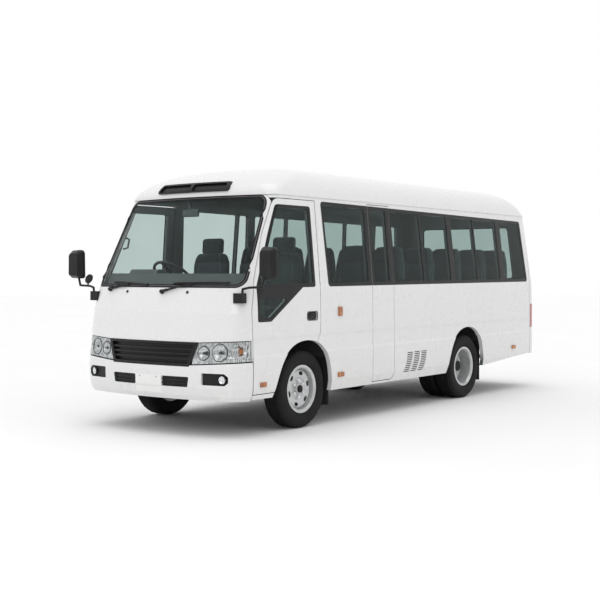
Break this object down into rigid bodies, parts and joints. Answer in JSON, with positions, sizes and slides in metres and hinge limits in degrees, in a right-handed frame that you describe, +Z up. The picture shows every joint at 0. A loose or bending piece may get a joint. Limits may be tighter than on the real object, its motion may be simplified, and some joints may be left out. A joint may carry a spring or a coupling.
{
  "type": "minibus",
  "caption": "Right-hand-drive minibus with hinged front doors, a narrow side exit door, a black window band and twin rear wheels.",
  "frame": {"origin": "on the ground, on the centreline, halfway along the body", "axes": "+X forward, +Y to the vehicle's left, +Z up"},
  "size_m": [6.255, 2.633, 2.545],
  "materials": {
    "white_paint": "gloss",
    "black_trim": "satin",
    "tinted_glass": "gloss",
    "clear_lens": "gloss",
    "red_lens": "gloss",
    "amber_lens": "gloss",
    "flap_rubber": "matte",
    "dash_plastic": "matte",
    "wheel_plastic": "satin",
    "seat_fabric": "matte",
    "seat_steel": "satin",
    "floor_mat": "matte",
    "chassis_black": "satin",
    "engine_iron": "rough",
    "tank_steel": "satin",
    "exhaust_steel": "satin",
    "tyre_rubber": "matte",
    "rim_silver": "satin"
  },
  "bodies": {
    "body": {"roof_panel": "white_paint", "side_wall_left": "white_paint", "side_wall_right": "white_paint", "nose_panel": "white_paint", "rear_panel": "white_paint", "front_bumper": "white_paint", "rear_bumper": "white_paint", "roof_intake": "black_trim", "window_frames": "black_trim", "grille": "black_trim", "bumper_inserts": "black_trim", "mirrors": "black_trim", "wipers": "black_trim", "side_glass": "tinted_glass", "windscreen": "tinted_glass", "rear_window": "tinted_glass", "front_lamps": "clear_lens", "rear_lamps": "red_lens", "side_lamps": "amber_lens", "mud_flaps": "flap_rubber", "dashboard": "dash_plastic", "seat_cushions": "seat_fabric", "seat_backs": "seat_fabric", "seat_frames": "seat_steel", "floor_pan": "floor_mat", "chassis_frame": "chassis_black", "front_axle": "chassis_black", "rear_axle": "chassis_black", "leaf_springs": "chassis_black", "drive_shaft": "chassis_black", "engine_block": "engine_iron", "fuel_tank": "tank_steel", "exhaust": "exhaust_steel"},
    "steering_wheel": {"steering_wheel": "wheel_plastic"},
    "knuckle_left": {"knuckle_left": "chassis_black"},
    "knuckle_right": {"knuckle_right": "chassis_black"},
    "tie_rod": {"tie_rod": "chassis_black"},
    "wheel_front_left": {"front_tyre_left": "tyre_rubber", "front_rim_left": "rim_silver"},
    "wheel_front_right": {"front_tyre_right": "tyre_rubber", "front_rim_right": "rim_silver"},
    "wheel_rear_left": {"rear_tyres_left": "tyre_rubber", "rear_rims_left": "rim_silver"},
    "wheel_rear_right": {"rear_tyres_right": "tyre_rubber", "rear_rims_right": "rim_silver"},
    "door_left": {"front_door_left": "white_paint", "door_frame_left": "black_trim", "door_glass_left": "tinted_glass"},
    "door_right": {"front_door_right": "white_paint", "door_frame_right": "black_trim", "door_glass_right": "tinted_glass"},
    "exit_door": {"exit_door": "white_paint", "exit_door_frame": "black_trim", "exit_door_glass": "tinted_glass"}
  },
  "joints": [
    {"name": "steer_left", "type": "hinge", "parent": "body", "child": "knuckle_left", "pos_m": [2, 0.76, 0.373], "axis": [0, 0, 1], "range_deg": [-35, 35]},
    {"name": "wheel_front_left_spin", "type": "hinge", "parent": "knuckle_left", "child": "wheel_front_left", "pos_m": [2, 0.845, 0.373], "axis": [0, 1, 0], "continuous": true},
    {"name": "wheel_rear_left_spin", "type": "hinge", "parent": "body", "child": "wheel_rear_left", "pos_m": [-1.2, 0.745, 0.373], "axis": [0, 1, 0], "continuous": true},
    {"name": "door_left_open", "type": "hinge", "parent": "body", "child": "door_left", "pos_m": [2.828, 1.018, 0.9], "axis": [0, 0, -1], "range_deg": [0, 70]},
    {"name": "steer_right", "type": "hinge", "parent": "body", "child": "knuckle_right", "pos_m": [2, -0.76, 0.373], "axis": [0, 0, 1], "range_deg": [-35, 35]},
    {"name": "wheel_front_right_spin", "type": "hinge", "parent": "knuckle_right", "child": "wheel_front_right", "pos_m": [2, -0.845, 0.373], "axis": [0, 1, 0], "continuous": true},
    {"name": "wheel_rear_right_spin", "type": "hinge", "parent": "body", "child": "wheel_rear_right", "pos_m": [-1.2, -0.745, 0.373], "axis": [0, 1, 0], "continuous": true},
    {"name": "door_right_open", "type": "hinge", "parent": "body", "child": "door_right", "pos_m": [2.828, -1.018, 0.9], "axis": [0, 0, 1], "range_deg": [0, 70]},
    {"name": "exit_door_open", "type": "hinge", "parent": "body", "child": "exit_door", "pos_m": [0.87, 1.018, 1.2], "axis": [0, 0, -1], "range_deg": [0, 90]},
    {"name": "tie_rod_pivot", "type": "hinge", "parent": "knuckle_left", "child": "tie_rod", "pos_m": [1.875, 0.76, 0.261], "axis": [0, 0, 1], "range_deg": [-35, 35]},
    {"name": "steering_wheel_turn", "type": "hinge", "parent": "body", "child": "steering_wheel", "pos_m": [2.3, -0.45, 1.452], "axis": [-0.6428, 0, 0.766], "range_deg": [-525, 525]}
  ],
  "couplings": [
    {"joint": "steer_right", "follows": "steer_left", "ratio": 1},
    {"joint": "tie_rod_pivot", "follows": "steer_left", "ratio": -1},
    {"joint": "steering_wheel_turn", "follows": "steer_left", "ratio": 15}
  ]
}
